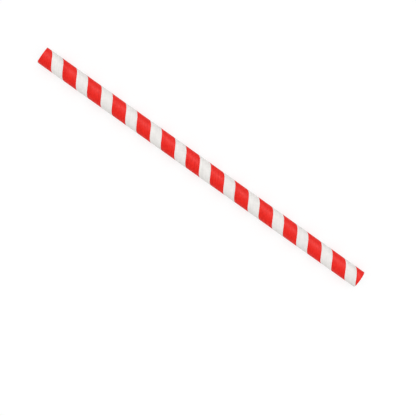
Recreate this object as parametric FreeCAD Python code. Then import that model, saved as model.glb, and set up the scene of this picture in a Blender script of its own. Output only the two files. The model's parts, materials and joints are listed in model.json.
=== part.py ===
import FreeCAD, Part
import math
import os

# A paper drinking straw, in millimetres. It lies along X, as it comes to rest on a table, with +Z up and
# its axis through the origin at mid-length. Its foot is the end at -X and its head the end at +X.
#
# The straw is one wall of glued paper. Strips of paper are wound one over another round a mandrel, each
# climbing by the same lead in every turn, and a knife cuts the endless tube square. The outer strip is
# printed with a red field beside a white one, and the winding turns the two into the candy stripe, a
# right-hand helix. The strips' edges meet closely under the glue, so the wall is whole.
#
# The red field is a solid of its own, one ply deep, so that it takes its own colour. All the rest is one
# solid. Each is made as the real one is: its section is wound round the axis, and then cut off at the foot
# and the head.

# The finished straw. The stripe makes this many turns from end to end.
LENGTH = 216.0
OUTER_DIAMETER = 10.0
TURNS = 13

# The paper. A ply is one layer of strip.
PLY_THICKNESS = 0.16
PLY_COUNT = 3

# The winding. The lead is how far a strip climbs in one turn.
LEAD = LENGTH / TURNS

# The print. The first red field ends this far from the straw's foot, measured along the topmost line.
RED_SHARE = 0.553
FIRST_RED_END = 6.5

# Worked out from the sizes above.
OUTER_RADIUS = OUTER_DIAMETER / 2
BORE_RADIUS = OUTER_RADIUS - PLY_COUNT * PLY_THICKNESS
SECOND_PLY_RADIUS = OUTER_RADIUS - PLY_THICKNESS
RED_WIDTH = RED_SHARE * LEAD

# Heights are given where the winding's angle is nought, a quarter turn before the topmost line.
RED_END = FIRST_RED_END - LEAD / 4
RED_START = RED_END - RED_WIDTH

# The winding starts this many turns below the foot and goes on as far above the head, to be cut off.
SPARE_TURNS = 2
WOUND_TURNS = TURNS + 2 * SPARE_TURNS

# The wall's section reaches this far into the mandrel's place, which is then cleared to the true bore.
MANDREL_BITE = 0.5

ORIGIN = FreeCAD.Vector(0, 0, 0)
FULL_TURN = 2 * math.pi


def drum(radius):
    """The endless cylinder of the given radius."""
    cylinder = Part.Cylinder()
    cylinder.Radius = radius
    return cylinder


def line_on(cylinder, start, end):
    """An edge that is straight when the cylinder is unrolled, between two (angle, height) points."""
    unrolled = Part.Geom2d.Line2dSegment(FreeCAD.Base.Vector2d(*start), FreeCAD.Base.Vector2d(*end))
    return unrolled.toShape(cylinder)


def helix(radius, height):
    """One turn of a helix that starts at the given height."""
    return line_on(drum(radius), (0, height), (FULL_TURN, height + LEAD))


def wound_band(radius, low, high):
    """One turn of a band that lies on a cylinder, between two heights."""
    cylinder = drum(radius)
    corners = [(0, low), (FULL_TURN, low + LEAD), (FULL_TURN, high + LEAD), (0, high)]
    sides = [line_on(cylinder, a, b) for a, b in zip(corners, corners[1:] + corners[:1])]
    return Part.Face(cylinder, Part.Wire(sides))


def wound_ledge(height, inner_radius, outer_radius):
    """One turn of a ledge that stands square out from the axis, between two radii."""
    return Part.makeRuledSurface(helix(inner_radius, height), helix(outer_radius, height))


def wound_side(start, end):
    """The face that one side of a section leaves in one turn, between two (radius, height) corners."""
    low, high = sorted([start[1], end[1]])
    inner_radius, outer_radius = sorted([start[0], end[0]])
    if inner_radius == outer_radius:
        return wound_band(inner_radius, low, high)
    return wound_ledge(low, inner_radius, outer_radius)


def section_face(corners):
    """The flat face of a section, where the winding's angle is nought."""
    points = [FreeCAD.Vector(radius, 0, height) for radius, height in corners]
    return Part.Face(Part.makePolygon(points + points[:1]))


def raised(shape, turns):
    """A copy of a shape, carried up the winding by whole turns."""
    copy = shape.copy()
    copy.translate(FreeCAD.Vector(0, 0, turns * LEAD))
    return copy


def wound(corners, meeting_sides=()):
    """The solid that a section leaves when it is wound round the axis, from below the foot to above the head.

    Its sides run from each corner to the next and back to the first. Two meeting sides are the foot and
    the head of a section as wide as the lead. Each turn's head lies against the next turn's foot, where
    the wall is whole, so these two sides show only at the winding's own ends.
    """
    sides = [wound_side(a, b) for a, b in zip(corners, corners[1:] + corners[:1])]
    faces = [section_face(corners), raised(section_face(corners), WOUND_TURNS)]
    for index, side in enumerate(sides):
        if index not in meeting_sides:
            faces += [raised(side, turn) for turn in range(WOUND_TURNS)]
    for index, turn in zip(meeting_sides, (0, WOUND_TURNS - 1)):
        faces.append(raised(sides[index], turn))
    shell = Part.makeShell(faces)
    shell.sewShape()
    return raised(Part.makeSolid(shell), -SPARE_TURNS)


def cut_to_length(winding):
    """A winding cut square at the foot and the head, with the mandrel's place cleared to the true bore."""
    reach = Part.makeCylinder(OUTER_RADIUS + PLY_THICKNESS, LENGTH)
    mandrel = Part.makeCylinder(BORE_RADIUS, LENGTH)
    return winding.common(reach.cut(mandrel)).Solids[0]


def red_stripe():
    """The red field of the outer ply: a flat strip on edge, wound."""
    corners = [
        (SECOND_PLY_RADIUS, RED_START),
        (OUTER_RADIUS, RED_START),
        (OUTER_RADIUS, RED_END),
        (SECOND_PLY_RADIUS, RED_END),
    ]
    return cut_to_length(wound(corners))


def paper_tube():
    """All the wall but its red field. The section is one lead wide, so each turn joins the next.

    Its outer side is the white field, and then the red field's place, one ply down.
    """
    inside = BORE_RADIUS - MANDREL_BITE
    foot = RED_END
    head = foot + LEAD
    white_end = head - RED_WIDTH
    corners = [
        (inside, foot),
        (SECOND_PLY_RADIUS, foot),
        (OUTER_RADIUS, foot),
        (OUTER_RADIUS, white_end),
        (SECOND_PLY_RADIUS, white_end),
        (SECOND_PLY_RADIUS, head),
        (inside, head),
    ]
    foot_side = 0
    head_side = 5
    return cut_to_length(wound(corners, (foot_side, head_side)))


def laid_down(straw):
    """Turns a straw that stands on its foot at the origin to lie along X, centred on the origin."""
    lying = straw.copy()
    lying.translate(FreeCAD.Vector(0, 0, -LENGTH / 2))
    lying.rotate(ORIGIN, FreeCAD.Vector(1, 1, 1), 120)
    return lying


def main():
    os.makedirs("parts", exist_ok=True)
    for node, make in {"paper_tube": paper_tube, "red_stripe": red_stripe}.items():
        shape = laid_down(make())
        shape.exportStep(f"parts/{node}.step")
        print(f"{node}: {shape.Volume:.2f} mm3 in {len(shape.Faces)} faces, valid {shape.isValid()}")


main()
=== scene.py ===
# %% [markdown]
# # A candy-striped paper drinking straw
#
# A paper straw is made of strips of paper. A machine winds them round a steel rod, one over another and
# all on the same slant, glues them into a tube, and cuts the tube square. The outer strip is printed with
# a red field beside a white one, and the winding turns the two fields into the candy stripe.
#
# This lesson makes the straw as the machine does: it draws the section of a strip once and winds it.

import json
import math

import bmesh
import bpy
from mathutils import Matrix, Vector, noise


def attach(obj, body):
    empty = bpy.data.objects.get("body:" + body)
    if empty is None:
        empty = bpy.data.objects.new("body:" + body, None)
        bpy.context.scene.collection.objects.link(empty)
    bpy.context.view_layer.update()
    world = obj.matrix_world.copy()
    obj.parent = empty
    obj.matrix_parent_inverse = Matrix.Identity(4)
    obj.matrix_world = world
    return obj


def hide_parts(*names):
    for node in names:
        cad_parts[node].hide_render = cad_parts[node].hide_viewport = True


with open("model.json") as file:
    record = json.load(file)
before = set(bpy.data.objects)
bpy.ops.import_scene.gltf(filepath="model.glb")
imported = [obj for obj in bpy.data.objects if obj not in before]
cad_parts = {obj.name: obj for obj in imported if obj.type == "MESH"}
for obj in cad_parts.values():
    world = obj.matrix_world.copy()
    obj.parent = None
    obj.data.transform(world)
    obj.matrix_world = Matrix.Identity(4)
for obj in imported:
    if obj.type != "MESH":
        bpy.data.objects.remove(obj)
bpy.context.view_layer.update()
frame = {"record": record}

# %% [markdown]
# ## The sizes
#
# The straw's length and its two radii come from the loaded record, so that they can't drift from the
# solids. The rest of the winding is written here as real sizes. The lead is how far a strip climbs along
# the straw in one turn, and the stripe makes a whole number of turns from end to end.

# %% The straw's sizes, in metres
MM = 0.001
measures = {mount["name"]: mount["dims"] for mount in frame["record"]["mounts"] if mount["dims"]}
LENGTH = measures["outside"]["length_mm"] * MM
OUTER_RADIUS = measures["outside"]["r_mm"] * MM
BORE_RADIUS = measures["bore"]["r_mm"] * MM

PLY_COUNT = 3
PLY = (OUTER_RADIUS - BORE_RADIUS) / PLY_COUNT
SECOND_PLY_RADIUS = OUTER_RADIUS - PLY

TURNS = 13
LEAD = LENGTH / TURNS
SLANT = math.atan2(LEAD, math.tau * OUTER_RADIUS)
print(f"a strip {LEAD * math.cos(SLANT) / MM:.1f} mm wide climbs {LEAD / MM:.1f} mm a turn")

# %% [markdown]
# ## The print and the seams
#
# The printed strip carries the red field and then the white one. Its two slit edges don't quite meet when
# it is wound, which leaves a seam a tenth of a millimetre wide. Each ply has such a seam, a third of the
# lead away from the next ply's, so that no two lie over each other.
#
# All heights here are along the straw, from the place where a white field starts, at the angle nought.
# That angle is a quarter turn before the topmost line.

# %% The fields of one lead, from the white field's start
RED_SHARE = 0.553
SEAM_GAP = 0.10 * MM
RED_WIDTH = RED_SHARE * LEAD
SEAM_WIDTH = SEAM_GAP / math.cos(SLANT)
WHITE_WIDTH = LEAD - RED_WIDTH - SEAM_WIDTH
RED_START = WHITE_WIDTH + SEAM_WIDTH

SEAM_STEP = LEAD / PLY_COUNT
OUTER_SEAM = WHITE_WIDTH + SEAM_WIDTH / 2
MIDDLE_SEAM = OUTER_SEAM + SEAM_STEP
INNER_SEAM = OUTER_SEAM + 2 * SEAM_STEP - LEAD

# The first red field ends this far from the straw's foot, along the topmost line.
FIRST_RED_END = 6.5 * MM
WHITE_START = FIRST_RED_END - LEAD / 4 - LENGTH / 2
print(f"along the straw, red takes {RED_WIDTH / MM:.2f} mm and white {WHITE_WIDTH / MM:.2f} mm")

# %% [markdown]
# ## The section of a strip
#
# A section is a short chain of points, each a height along the straw and a radius. Two things give paper
# away. A slit edge is never sharp, so it gets a small round. And a seam under the top ply shows through
# it as a shallow hollow, which catches the light as a faint streak.

# %% Points for a slit edge
EDGE_ROUND = 0.03 * MM
QUARTER = [math.radians(degrees) for degrees in (0, 45, 90)]


def slit_edge(height, towards, face_radius, into_wall):
    """The rounded corner of a strip's face.

    towards is 1 where the strip ends and -1 where it starts. into_wall is -1 for the straw's outside,
    where the paper is inwards of the face, and 1 for the bore.
    """
    points = []
    for turned in QUARTER:
        back = EDGE_ROUND * (1 - math.sin(turned))
        down = EDGE_ROUND * (1 - math.cos(turned))
        points.append((height - towards * back, face_radius + into_wall * down))
    return points[::towards]


# %% Points for a hollow over a hidden seam
HOLLOW_WIDTH = 1.2 * MM
HOLLOW_STEPS = 3


def hollow(middle, depth):
    """The shallow hollow in the outside over a seam that lies deeper in the wall."""
    points = []
    for step in range(-HOLLOW_STEPS, HOLLOW_STEPS + 1):
        share = step / HOLLOW_STEPS
        sunk = depth * (1 + math.cos(math.pi * share)) / 2
        points.append((middle + share * HOLLOW_WIDTH / 2, OUTER_RADIUS - sunk))
    return points


print(f"a slit edge takes {len(QUARTER)} points, and a hollow {len(hollow(MIDDLE_SEAM, 0))}")

# %% [markdown]
# ## Winding a section
#
# Blender's spin operator turns a chain of edges round an axis in small steps. It can also move the chain
# along the axis at each step, and that makes a helix. One turn is wound, and copies of it are stacked,
# each one lead further on. A copy's edges lie on its neighbour's, so merging the doubles joins them.
#
# Along the straw the wall is straight, so the chain has a point only where the section changes.

# %% Draw a chain, wind it once and stack the turns
STEPS_PER_TURN = 96
TURNS_BELOW = 2
WOUND_TURNS = TURNS + TURNS_BELOW
WELD = 0.001 * MM


def wind(bm, points, closed=False):
    """Winds a chain of (height, radius) points round the axis, from below the foot to above the head."""
    start = WHITE_START - TURNS_BELOW * LEAD
    verts = [bm.verts.new((start + height, radius, 0)) for height, radius in points]
    ends = verts[1:] + verts[:1] if closed else verts[1:]
    edges = [bm.edges.new(pair) for pair in zip(verts, ends)]
    wound_before = set(bm.verts) - set(verts)
    bmesh.ops.spin(
        bm,
        geom=verts + edges,
        cent=(0, 0, 0),
        axis=(1, 0, 0),
        dvec=(LEAD / STEPS_PER_TURN, 0, 0),
        angle=math.tau,
        steps=STEPS_PER_TURN,
    )
    turn = [vert for vert in bm.verts if vert not in wound_before]
    corners = set(turn)
    turn += [edge for edge in bm.edges if corners.issuperset(edge.verts)]
    turn += [face for face in bm.faces if corners.issuperset(face.verts)]
    for step in range(1, WOUND_TURNS):
        copy = bmesh.ops.duplicate(bm, geom=turn)["geom"]
        copied = [item for item in copy if isinstance(item, bmesh.types.BMVert)]
        bmesh.ops.translate(bm, verts=copied, vec=(step * LEAD, 0, 0))
    bmesh.ops.remove_doubles(bm, verts=bm.verts, dist=WELD)
    print(f"  {len(points)} points wound, {len(bm.faces)} faces so far")


# %% [markdown]
# ## Cutting the tube
#
# The knife goes through square, but it doesn't leave a perfect plane. It rolls the outer edge over a
# little, dulls the inner one, and leaves a fibrous face in which the plies show as fine rings. So the
# winding is cut a hair short of each end, and the open rims are then carried over the cut face.

# %% Cut the winding
CUT_ROUND = 0.05 * MM


def radius_of(point):
    """The distance from the straw's axis."""
    return math.hypot(point.y, point.z)


def angle_of(point):
    """The angle round the axis, from +Y towards +Z."""
    return math.atan2(point.z, point.y)


def cut_square(bm, side):
    """Cuts the winding just short of the head, side 1, or the foot, side -1, and gives the open rims."""
    where = side * (LENGTH / 2 - CUT_ROUND)
    cut = bmesh.ops.bisect_plane(
        bm,
        geom=bm.verts[:] + bm.edges[:] + bm.faces[:],
        dist=0.1 * WELD,
        plane_co=(where, 0, 0),
        plane_no=(side, 0, 0),
        clear_outer=True,
    )["geom_cut"]
    return [item for item in cut if isinstance(item, bmesh.types.BMEdge) and item.is_boundary]


# %% [markdown]
# ## Carrying a rim over the cut face
#
# A rim is extruded ring by ring, and each ring is moved to its station: a depth below the cut plane and a
# radius. A rim that is carried inwards never moves out again. So where the red field's place already lies
# deeper, the rings wait for the rest of the rim, and merging the doubles removes the waiting rings.
#
# Two rims that meet in the wall don't have the same points, because each strip edge that the knife crossed
# left one. So the last rings are settled on the same places first, and then merging joins them as well.

# %% Carry a rim and settle it
CUT_FIBRE = 0.012 * MM
FIBRES_PER_METRE = 3500


def fibre_depth(point):
    """How far the knife left the paper's fibres short of the cut plane at a point of the cut face."""
    return CUT_FIBRE * abs(noise.noise(Vector((0, point.y, point.z)) * FIBRES_PER_METRE))


def carry_rim(bm, rim, side, stations, inwards):
    """Extrudes a rim through (depth below the cut plane, radius) stations, and gives the last ring."""
    limit = min if inwards else max
    for depth, radius in stations:
        made = bmesh.ops.extrude_edge_only(bm, edges=rim)["geom"]
        verts = [item for item in made if isinstance(item, bmesh.types.BMVert)]
        ring = set(verts)
        rim = [item for item in made if isinstance(item, bmesh.types.BMEdge) and ring.issuperset(item.verts)]
        for vert in verts:
            was = radius_of(vert.co)
            now = limit(was, radius)
            vert.co.y *= now / was
            vert.co.z *= now / was
            sunk = depth + fibre_depth(vert.co) * (1 - depth / CUT_ROUND)
            if now == was:
                sunk = min(sunk, LENGTH / 2 - side * vert.co.x)
            vert.co.x = side * (LENGTH / 2 - sunk)
    return rim


def settle(rim, side, places):
    """Moves each vertex of a rim on the cut face to the (angle, radius) place nearest round the axis."""
    for vert in dict.fromkeys(vert for edge in rim for vert in edge.verts):
        swing = angle_of(vert.co)
        angle, radius = min(places, key=lambda place: abs(math.remainder(swing - place[0], math.tau)))
        vert.co.y = radius * math.cos(angle)
        vert.co.z = radius * math.sin(angle)
        vert.co.x = side * (LENGTH / 2 - fibre_depth(vert.co))


# %% [markdown]
# ## The flat strip
#
# Paper's grain follows the strip and not the straw. So each corner of each face is told where it lay on
# the flat strip before it was wound, and a UV map is made to hold such places. They are in millimetres,
# along the strip and across it. An attribute marks the faces that the knife left, which have no print.

# %% Lay the faces flat
def lay_flat(bm):
    """Writes the UV map called strip, and the attribute called cut, which is one on the cut faces."""
    flat = bm.loops.layers.uv.new("strip")
    cut = bm.faces.layers.float.new("cut")
    strip_start = WHITE_START + OUTER_SEAM
    for face in bm.faces:
        middle = face.calc_center_median()
        face[cut] = float(abs(middle.x) > LENGTH / 2 - CUT_ROUND)
        angle = angle_of(middle)
        turns = math.floor((middle.x - strip_start) / LEAD - angle / math.tau)
        for loop in face.loops:
            point = loop.vert.co
            swing = math.remainder(angle_of(point) - angle, math.tau)
            around = OUTER_RADIUS * (angle + swing + math.tau * turns)
            along = point.x - strip_start
            loop[flat].uv = (
                (around * math.cos(SLANT) + along * math.sin(SLANT)) / MM,
                (along * math.cos(SLANT) - around * math.sin(SLANT)) / MM,
            )


# %% [markdown]
# ## From a shape to a piece
#
# A shape is cleaned before it is used: its doubles are merged, and what has shrunk to nothing goes. Only
# then are the normals worked out, because they have to see one closed skin. The faces are shaded smooth,
# but for the corners, where two faces meet at more than a certain angle.

# %% Finish a piece
SHARP_CORNER = math.radians(50)


def finished(bm, name, body, node):
    """Cleans a shape, turns its faces outwards and makes it a piece that stands for a solid."""
    bmesh.ops.remove_doubles(bm, verts=bm.verts, dist=WELD)
    bmesh.ops.dissolve_degenerate(bm, edges=bm.edges, dist=0.1 * WELD)
    bmesh.ops.recalc_face_normals(bm, faces=bm.faces)
    lay_flat(bm)
    open_edges = sum(not edge.is_manifold for edge in bm.edges)
    mesh = bpy.data.meshes.new(name)
    bm.to_mesh(mesh)
    bm.free()
    mesh.polygons.foreach_set("use_smooth", [True] * len(mesh.polygons))
    mesh.set_sharp_from_angle(angle=SHARP_CORNER)
    piece = bpy.data.objects.new(name, mesh)
    bpy.context.scene.collection.objects.link(piece)
    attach(piece, body)
    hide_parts(node)
    triangles = sum(len(polygon.vertices) - 2 for polygon in mesh.polygons)
    print(f"{name}: {len(mesh.polygons)} faces, {triangles} triangles, {open_edges} open edges")
    return piece


# %% [markdown]
# ## The white wall
#
# The white field and the plies below it are one piece, because nothing in a finished straw separates them.
# Outside, its section has the white field with the inner ply's seam showing through very faintly, then the
# slit edge and the seam, and then the red field's place, one ply down. The bore has the inner ply's seam.

# %% Wind the white wall
HOLLOW_IN_WHITE = 0.006 * MM
INNER_SEAM_START = INNER_SEAM - SEAM_WIDTH / 2
INNER_SEAM_END = INNER_SEAM + SEAM_WIDTH / 2

outside = [
    (0, SECOND_PLY_RADIUS),
    (0, OUTER_RADIUS),
    *hollow(INNER_SEAM, HOLLOW_IN_WHITE),
    *slit_edge(WHITE_WIDTH, 1, OUTER_RADIUS, -1),
    (WHITE_WIDTH, SECOND_PLY_RADIUS),
    (LEAD, SECOND_PLY_RADIUS),
]
bore = [
    (0, BORE_RADIUS),
    *slit_edge(INNER_SEAM_START, 1, BORE_RADIUS, 1),
    (INNER_SEAM_START, BORE_RADIUS + PLY),
    (INNER_SEAM_END, BORE_RADIUS + PLY),
    *slit_edge(INNER_SEAM_END, -1, BORE_RADIUS, 1),
    (LEAD, BORE_RADIUS),
]

white_bm = bmesh.new()
wind(white_bm, outside)
wind(white_bm, bore)

# %% The stations over the cut face
PLY_LINE = 0.03 * MM
LINE_HALF = 0.025 * MM
BORE_ROUND = 0.6 * CUT_ROUND
MEETING_RADIUS = SECOND_PLY_RADIUS - 0.7 * PLY
MEETING_PLACES = [(math.tau * step / STEPS_PER_TURN, MEETING_RADIUS) for step in range(STEPS_PER_TURN)]


def over_the_edge(radius, into_wall, size):
    """Stations that roll a rim of the given radius over on to the cut face."""
    return [
        (CUT_ROUND * (1 - math.sin(turned)), radius + into_wall * size * (1 - math.cos(turned)))
        for turned in QUARTER[1:]
    ]


def ply_line(radius, into_wall):
    """Stations across the fine groove between two plies."""
    return [(0, radius - into_wall * LINE_HALF), (PLY_LINE, radius), (0, radius + into_wall * LINE_HALF)]


from_outside = [
    *over_the_edge(OUTER_RADIUS, -1, CUT_ROUND),
    *ply_line(SECOND_PLY_RADIUS, -1),
    (0, MEETING_RADIUS),
]
from_bore = [
    *over_the_edge(BORE_RADIUS, 1, BORE_ROUND),
    (0, BORE_RADIUS + PLY / 2),
    *ply_line(BORE_RADIUS + PLY, 1),
    (0, MEETING_RADIUS),
]
print(f"{len(from_outside)} rings lead inwards, {len(from_bore)} outwards, to {MEETING_RADIUS / MM:.3f} mm")

# %% Close the white wall's ends
for side in (-1, 1):
    rims = cut_square(white_bm, side)
    outer_rim = [edge for edge in rims if radius_of(edge.verts[0].co) > MEETING_RADIUS]
    bore_rim = [edge for edge in rims if radius_of(edge.verts[0].co) < MEETING_RADIUS]
    settle(carry_rim(white_bm, outer_rim, side, from_outside, inwards=True), side, MEETING_PLACES)
    settle(carry_rim(white_bm, bore_rim, side, from_bore, inwards=False), side, MEETING_PLACES)
white_wall = finished(white_bm, "white_wall", "root", "paper_tube")

# %% [markdown]
# ## The red field
#
# The red field is the rest of the outer strip, one ply deep, and lies flush in the place that the white
# wall leaves for it. On one side it meets the white field, with which it shares the strip, and on the
# other it ends in the strip's slit edge at the seam. The middle ply's seam lies right under it.

# %% Wind the red field and close its ends
HOLLOW_IN_RED = 0.014 * MM

red_section = [
    (RED_START, SECOND_PLY_RADIUS),
    *slit_edge(RED_START, -1, OUTER_RADIUS, -1),
    *hollow(MIDDLE_SEAM, HOLLOW_IN_RED),
    (LEAD, OUTER_RADIUS),
    (LEAD, SECOND_PLY_RADIUS),
]
over_red = [
    *over_the_edge(OUTER_RADIUS, -1, CUT_ROUND),
    (0, OUTER_RADIUS - 0.6 * PLY),
    (0, SECOND_PLY_RADIUS),
]

red_bm = bmesh.new()
wind(red_bm, red_section, closed=True)
for side in (-1, 1):
    rim = cut_square(red_bm, side)
    places = [(angle_of(vert.co), radius_of(vert.co)) for edge in rim for vert in edge.verts]
    inner_places = [place for place in places if place[1] < SECOND_PLY_RADIUS + WELD]
    settle(carry_rim(red_bm, rim, side, over_red, inwards=True), side, inner_places)
red_field = finished(red_bm, "red_field", "root", "red_stripe")

# %% [markdown]
# ## Node helpers
#
# A material is a small network of nodes. One helper adds a node, sets its options and fills its sockets,
# with a value or with another node's output. The others wrap the few steps that are used again and again.

# %% Add a node, step by step
def add_node(tree, kind, inputs=None, **options):
    """Adds a shader node. inputs maps socket names or numbers to values or to other nodes' outputs."""
    node = tree.nodes.new("ShaderNode" + kind)
    for name, value in options.items():
        setattr(node, name, value)
    for name, value in (inputs or {}).items():
        if isinstance(value, bpy.types.NodeSocket):
            tree.links.new(value, node.inputs[name])
        else:
            node.inputs[name].default_value = value
    return node


def math_node(tree, operation, *values):
    """One step of arithmetic."""
    return add_node(tree, "Math", dict(enumerate(values)), operation=operation).outputs[0]


def weighted(tree, *parts):
    """The sum of some (value, weight) parts."""
    total = 0
    for value, weight in parts:
        total = math_node(tree, "MULTIPLY_ADD", value, weight, total)
    return total


def between(tree, value, low, high, to_low=0, to_high=1):
    """Stretches the range from low to high to the range from to_low to to_high, and stops there."""
    values = {"Value": value, "From Min": low, "From Max": high, "To Min": to_low, "To Max": to_high}
    return add_node(tree, "MapRange", values).outputs[0]


# %% Mix numbers and colours
def mix_numbers(tree, share, first, second):
    """The second number where the share is one, and the first where it is nought."""
    return add_node(tree, "Mix", {0: share, 2: first, 3: second}).outputs[0]


def mix_colours(tree, share, first, second):
    """The second colour where the share is one, and the first where it is nought."""
    colours = {
        number: value if isinstance(value, bpy.types.NodeSocket) else (*value, 1)
        for number, value in ((6, first), (7, second))
    }
    return add_node(tree, "Mix", {0: share, **colours}, data_type="RGBA").outputs[2]


# %% [markdown]
# ## Grain on the flat strip
#
# A noise that reads the flat map can be given the real size of a fibre or a blotch, along the paper and
# across it, in millimetres. The Mapping node's texture type divides by these sizes, where the point type
# would multiply.

# %% Make a grain
def on_the_strip(tree):
    """Where the point lay on the flat strip, in millimetres along it and across it."""
    return add_node(tree, "UVMap", uv_map="strip").outputs["UV"]


def grain(tree, along, across, detail, place=None, turn=0):
    """A noise with blotches of this length and width on the strip, turned by so many degrees."""
    place = place or on_the_strip(tree)
    placed = {"Vector": place, "Scale": (along, across, 1), "Rotation": (0, 0, math.radians(turn))}
    sized = add_node(tree, "Mapping", placed, vector_type="TEXTURE").outputs[0]
    values = {"Vector": sized, "Scale": 1, "Detail": detail, "Roughness": 0.6}
    return add_node(tree, "TexNoise", values, noise_dimensions="2D").outputs["Fac"]


# %% [markdown]
# ## The paper's fibres
#
# Held close to the eye, paper is a felt of curled fibres, most of them along the strip. Each is drawn as
# the crest of a noise with very long and thin blotches. Three such noises lie across each other at
# different slants. They would look like hatching, so the place that they read is pushed about by a slower
# noise, and that makes the fibres curl.

# %% Draw the fibres
FIBRE_WIDTH = 0.055
FIBRE_TURNS_AND_LENGTHS = [(6, 1.7), (-22, 1.3), (41, 0.9)]
FIBRE_CRESTS = (0.57, 0.71)


def wandering_place(tree, size, reach):
    """The place on the strip, pushed about within the reach, so that a line that is drawn there curls."""
    values = {"Vector": on_the_strip(tree), "Scale": 1 / size, "Detail": 1}
    push = add_node(tree, "TexNoise", values, noise_dimensions="2D").outputs["Color"]
    start = add_node(tree, "VectorMath", {0: on_the_strip(tree), 1: (reach / 2,) * 3}, operation="SUBTRACT")
    pushed = {0: push, 1: (reach,) * 3, 2: start.outputs[0]}
    return add_node(tree, "VectorMath", pushed, operation="MULTIPLY_ADD").outputs[0]


def fibre_marks(tree):
    """One on the thin curling fibres, and nought between them."""
    place = wandering_place(tree, size=1.5, reach=0.6)
    marks = 0
    for turn, length in FIBRE_TURNS_AND_LENGTHS:
        waves = grain(tree, length, FIBRE_WIDTH, detail=2, place=place, turn=turn)
        marks = math_node(tree, "MAXIMUM", marks, between(tree, waves, *FIBRE_CRESTS))
    return marks


# %% [markdown]
# ## The white paper
#
# Straw paper is smooth, matt and a little warmer and greyer than the page that it lies on. Besides its
# fibres it has the cloudy look that pulp leaves, long faint streaks from the rollers, and a fine tooth.
# The cut face shows the ends of the fibres instead: it is rougher and a shade darker.
#
# A noise seldom strays far from its middle of one half, so only that stretch of it is used.

# %% Make the paper's smooth side
PAPER_LIGHT = (0.895, 0.873, 0.847)
PAPER_DARK = (0.815, 0.792, 0.765)
FIBRE_SHADE = (0.760, 0.735, 0.700)
FIBRE_SHARE = 0.42
PULP_RANGE = (0.36, 0.64)


def paper_skin(tree):
    """The smooth side's colour, and the height of its tooth and fibres from nought to one."""
    clouds = grain(tree, along=3.2, across=1.8, detail=3)
    streaks = grain(tree, along=45, across=0.55, detail=2)
    tooth = grain(tree, along=0.22, across=0.13, detail=3)
    fibres = fibre_marks(tree)
    pulp = between(tree, weighted(tree, (clouds, 0.5), (streaks, 0.5)), *PULP_RANGE)
    colour = mix_colours(tree, pulp, PAPER_DARK, PAPER_LIGHT)
    shade = math_node(tree, "MULTIPLY", fibres, FIBRE_SHARE)
    return mix_colours(tree, shade, colour, FIBRE_SHADE), weighted(tree, (tooth, 0.55), (fibres, 0.45))


# %% Make the paper's cut face, and join the two
CUT_LIGHT = (0.830, 0.805, 0.765)
CUT_DARK = (0.700, 0.670, 0.625)
CUT_GRAIN_SCALE = 7000
CUT_RANGE = (0.35, 0.65)


def cut_face(tree):
    """The cut face's colour, and the height of its torn fibres from nought to one."""
    values = {"Scale": CUT_GRAIN_SCALE, "Detail": 3, "Roughness": 0.6}
    values["Vector"] = add_node(tree, "TexCoord").outputs["Object"]
    torn = add_node(tree, "TexNoise", values).outputs["Fac"]
    return mix_colours(tree, between(tree, torn, *CUT_RANGE), CUT_DARK, CUT_LIGHT), torn


def bare_paper(tree):
    """The bare paper's colour and height, everywhere on a piece."""
    skin, skin_height = paper_skin(tree)
    cut, cut_height = cut_face(tree)
    on_cut = add_node(tree, "Attribute", attribute_name="cut", attribute_type="GEOMETRY").outputs["Fac"]
    return mix_colours(tree, on_cut, skin, cut), mix_numbers(tree, on_cut, skin_height, cut_height)


# %% [markdown]
# ## The red ink
#
# The red is a thin film of ink on the same paper. It fills the tooth a little, so it is smoother and has a
# slight sheen, and it lies unevenly, so the red is mottled and streaked where the paper took more or less
# of it. In a few deep pits the paper shows through as fine pale specks.
#
# The film is only a skin. The knife and the slitter cut through it, so the ply's own edge stays white. And
# the print's edge isn't ruled: it creeps a few hundredths of a millimetre along the fibres. That is why
# both pieces get the same network, in which the ink ends at a slightly uneven line across the strip.

# %% Say where the ink lies
INK_DEPTH = 0.035 * MM
INK_FADE = 0.15 * INK_DEPTH
PRINT_EDGE = (LEAD - OUTER_SEAM) * math.cos(SLANT) / MM
EDGE_CREEP = 0.12


def ink_mask(tree):
    """One where the strip is printed and nought where it is bare."""
    across_strip = add_node(tree, "SeparateXYZ", {0: on_the_strip(tree)}).outputs["Y"]
    creep = grain(tree, along=0.5, across=60, detail=3)
    edge = between(tree, creep, 0, 1, PRINT_EDGE - EDGE_CREEP / 2, PRINT_EDGE + EDGE_CREEP / 2)
    printed = math_node(tree, "LESS_THAN", across_strip, edge)
    place = add_node(tree, "TexCoord").outputs["Object"]
    off_axis = add_node(tree, "VectorMath", {0: place, 1: (0, 1, 1)}, operation="MULTIPLY").outputs[0]
    radius = add_node(tree, "VectorMath", {0: off_axis}, operation="LENGTH").outputs["Value"]
    skin_radius = OUTER_RADIUS - INK_DEPTH
    on_top = between(tree, radius, skin_radius - INK_FADE, skin_radius)
    return math_node(tree, "MULTIPLY", printed, on_top)


print(f"the ink is {INK_DEPTH / MM:.3f} mm deep and ends {PRINT_EDGE:.2f} mm across the strip")

# %% Make the ink's colour
INK_FULL = (0.905, 0.0200, 0.0110)
INK_THIN = (0.710, 0.0090, 0.0055)
INK_SPECK = (0.880, 0.0700, 0.0500)
COVER_RANGE = (0.35, 0.55)
PIT_RANGE = (0.29, 0.22)


def ink_film(tree, height):
    """The ink's colour, and how fully it covers the paper. height is the paper's."""
    blotches = grain(tree, along=1.6, across=0.7, detail=4)
    streaks = grain(tree, along=14, across=0.7, detail=3)
    laid = weighted(tree, (streaks, 0.35), (blotches, 0.4), (height, 0.25))
    cover = between(tree, laid, *COVER_RANGE)
    pits = between(tree, grain(tree, along=0.12, across=0.09, detail=1), *PIT_RANGE)
    return mix_colours(tree, pits, mix_colours(tree, cover, INK_THIN, INK_FULL), INK_SPECK), cover


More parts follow.
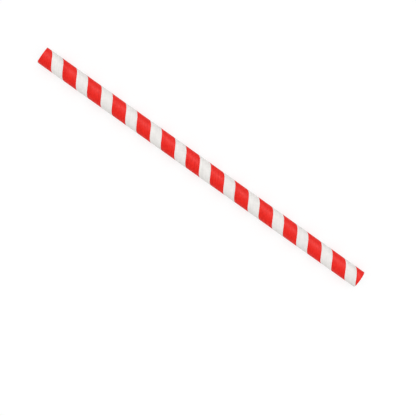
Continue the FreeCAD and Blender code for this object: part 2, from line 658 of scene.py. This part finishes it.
# %% [markdown]
# ## Dressing the two pieces
#
# The relief is a bump of about a hundredth of a millimetre, and the ink takes nearly half of it away. The
# gloss level is the same all over a piece, so it is set on the shader itself.

# %% Build the network for each piece
PAPER_RELIEF = 0.012 * MM
INKED_RELIEF_SHARE = 0.58
PAPER_ROUGHNESS = (0.60, 0.72)
INK_ROUGHNESS = (0.60, 0.46)
HEIGHT_RANGE = (0.2, 0.8)


def new_material(name):
    """An empty material, with its tree and its principled shader."""
    material = bpy.data.materials.new(name)
    material.use_nodes = True
    return material, material.node_tree, material.node_tree.nodes["Principled BSDF"]


def dress(piece, name, gloss):
    """Gives a piece the printed paper."""
    material, tree, shader = new_material(name)
    paper, height = bare_paper(tree)
    ink, cover = ink_film(tree, height)
    printed = ink_mask(tree)
    paper_roughness = between(tree, height, *HEIGHT_RANGE, *PAPER_ROUGHNESS)
    ink_roughness = between(tree, cover, 0, 1, *INK_ROUGHNESS)
    smoothed = math_node(tree, "MULTIPLY", height, mix_numbers(tree, printed, 1, INKED_RELIEF_SHARE))
    relief = add_node(tree, "Bump", {"Height": smoothed, "Strength": 1, "Distance": PAPER_RELIEF}).outputs[0]
    tree.links.new(mix_colours(tree, printed, paper, ink), shader.inputs["Base Color"])
    tree.links.new(mix_numbers(tree, printed, paper_roughness, ink_roughness), shader.inputs["Roughness"])
    tree.links.new(relief, shader.inputs["Normal"])
    shader.inputs["Specular IOR Level"].default_value = gloss
    piece.data.materials.append(material)
    print(f"{name}: {len(tree.nodes)} nodes")


dress(white_wall, "white straw paper", gloss=0.22)
dress(red_field, "red print on straw paper", gloss=0.15)

# %% [markdown]
# ## The table
#
# The straw lies on a white table. For light that bounces off it on to the straw, the table is a plain
# diffuse white. For the camera it is mostly a white glow, so that it can't be told from the page, and only
# the rest of its brightness comes from the lights. That rest is what the straw's soft shadow takes away.

# %% Lay the table
TABLE_SIZE = 8
TABLE_BOUNCE = (0.85, 0.85, 0.85, 1)
TABLE_SHADOW = 0.27
WHITE = (1, 1, 1, 1)

# Where nothing shades a white table, the lights below make it this bright.
OPEN_TABLE = 0.95


def is_seen(tree):
    """One for rays that come from the camera, straight or by a glossy surface."""
    path = add_node(tree, "LightPath")
    return math_node(tree, "MAXIMUM", path.outputs["Is Camera Ray"], path.outputs["Is Glossy Ray"])


table_bm = bmesh.new()
bmesh.ops.create_grid(table_bm, x_segments=1, y_segments=1, size=TABLE_SIZE / 2)
bmesh.ops.translate(table_bm, verts=table_bm.verts, vec=(0, 0, -OUTER_RADIUS))
table_mesh = bpy.data.meshes.new("table")
table_bm.to_mesh(table_mesh)
table_bm.free()
table = bpy.data.objects.new("table", table_mesh)
bpy.context.scene.collection.objects.link(table)
print(f"the table is {TABLE_SIZE} m square and lies {OUTER_RADIUS / MM:.1f} mm below the straw's axis")

# %% Paint the table
table_white, tree, shader = new_material("white table")
tree.nodes.remove(shader)
bounced = add_node(tree, "BsdfDiffuse", {"Color": TABLE_BOUNCE}).outputs[0]
shadowed = add_node(tree, "BsdfDiffuse", {"Color": (TABLE_SHADOW, TABLE_SHADOW, TABLE_SHADOW, 1)}).outputs[0]
glow = add_node(tree, "Emission", {"Color": WHITE, "Strength": 1 - OPEN_TABLE * TABLE_SHADOW}).outputs[0]
seen = add_node(tree, "AddShader", {0: shadowed, 1: glow}).outputs[0]
surface = add_node(tree, "MixShader", {0: is_seen(tree), 1: bounced, 2: seen}).outputs[0]
tree.links.new(surface, tree.nodes["Material Output"].inputs["Surface"])
table_mesh.materials.append(table_white)

# %% [markdown]
# ## The light
#
# The light is flat and soft, as in a picture for a catalogue. An even white sky gives most of it, and the
# camera sees that sky as plain white, like the table, so that no horizon shows. A broad light from
# straight above and a weak one from the far side show that the straw is round. A third light shows only
# as a sheen on the paper. All three are far off, so that the table is as bright at its edge as in the
# middle.

# %% Light the sky
SKY = 0.62

world = bpy.data.worlds.new("even white")
world.use_nodes = True
bpy.context.scene.world = world
tree = world.node_tree
tree.links.new(between(tree, is_seen(tree), 0, 1, SKY, 1), tree.nodes["Background"].inputs["Strength"])
tree.nodes["Background"].inputs["Color"].default_value = WHITE


# %% Add the three lights
def shine(name, strength, spread, lean):
    """A soft light from far off, so many degrees wide and so many from straight above, towards +Y."""
    data = bpy.data.lights.new(name, "SUN")
    data.energy = strength
    data.angle = math.radians(spread)
    light = bpy.data.objects.new(name, data)
    light.matrix_world = Matrix.Rotation(-math.radians(lean), 4, "X")
    bpy.context.scene.collection.objects.link(light)
    print(f"{name}: {spread} degrees wide, {lean} degrees from straight above")
    return light


shine("overhead light", strength=0.95, spread=62, lean=0)
shine("side light", strength=0.28, spread=32, lean=32)
sheen_light = shine("sheen light", strength=2.7, spread=36, lean=36)
sheen_light.visible_diffuse = False

# %% [markdown]
# ## The camera
#
# The photograph looks nearly straight down on the straw, from about a metre away, and its foot is a little
# nearer than its head. The camera is turned so that the straw falls to the right across the picture. Its
# place is found from the spot in the picture where the straw's middle lies.

# %% Set up the camera
PICTURE = 416
SENSOR = 36
LENS = 155.73
DISTANCE = 1.0
TILT = math.radians(3.558)
ROLL = math.radians(35.29)
MIDDLE_SEEN_AT = (201.78, 167.94)

metres_per_pixel = DISTANCE * SENSOR / LENS / PICTURE
right = (PICTURE / 2 - MIDDLE_SEEN_AT[0]) * metres_per_pixel
up = (MIDDLE_SEEN_AT[1] - PICTURE / 2) * metres_per_pixel
turned = Matrix.Rotation(-TILT, 4, "Y") @ Matrix.Rotation(ROLL, 4, "Z")

camera_data = bpy.data.cameras.new("camera")
camera_data.lens = LENS
camera_data.sensor_width = SENSOR
camera = bpy.data.objects.new("camera", camera_data)
camera.matrix_world = turned @ Matrix.Translation((right, up, DISTANCE))
bpy.context.scene.collection.objects.link(camera)
bpy.context.scene.camera = camera
bpy.context.scene.view_settings.view_transform = "Standard"
print(f"a pixel is {metres_per_pixel / MM:.3f} mm, and the straw {LENGTH / metres_per_pixel:.0f} pixels long")
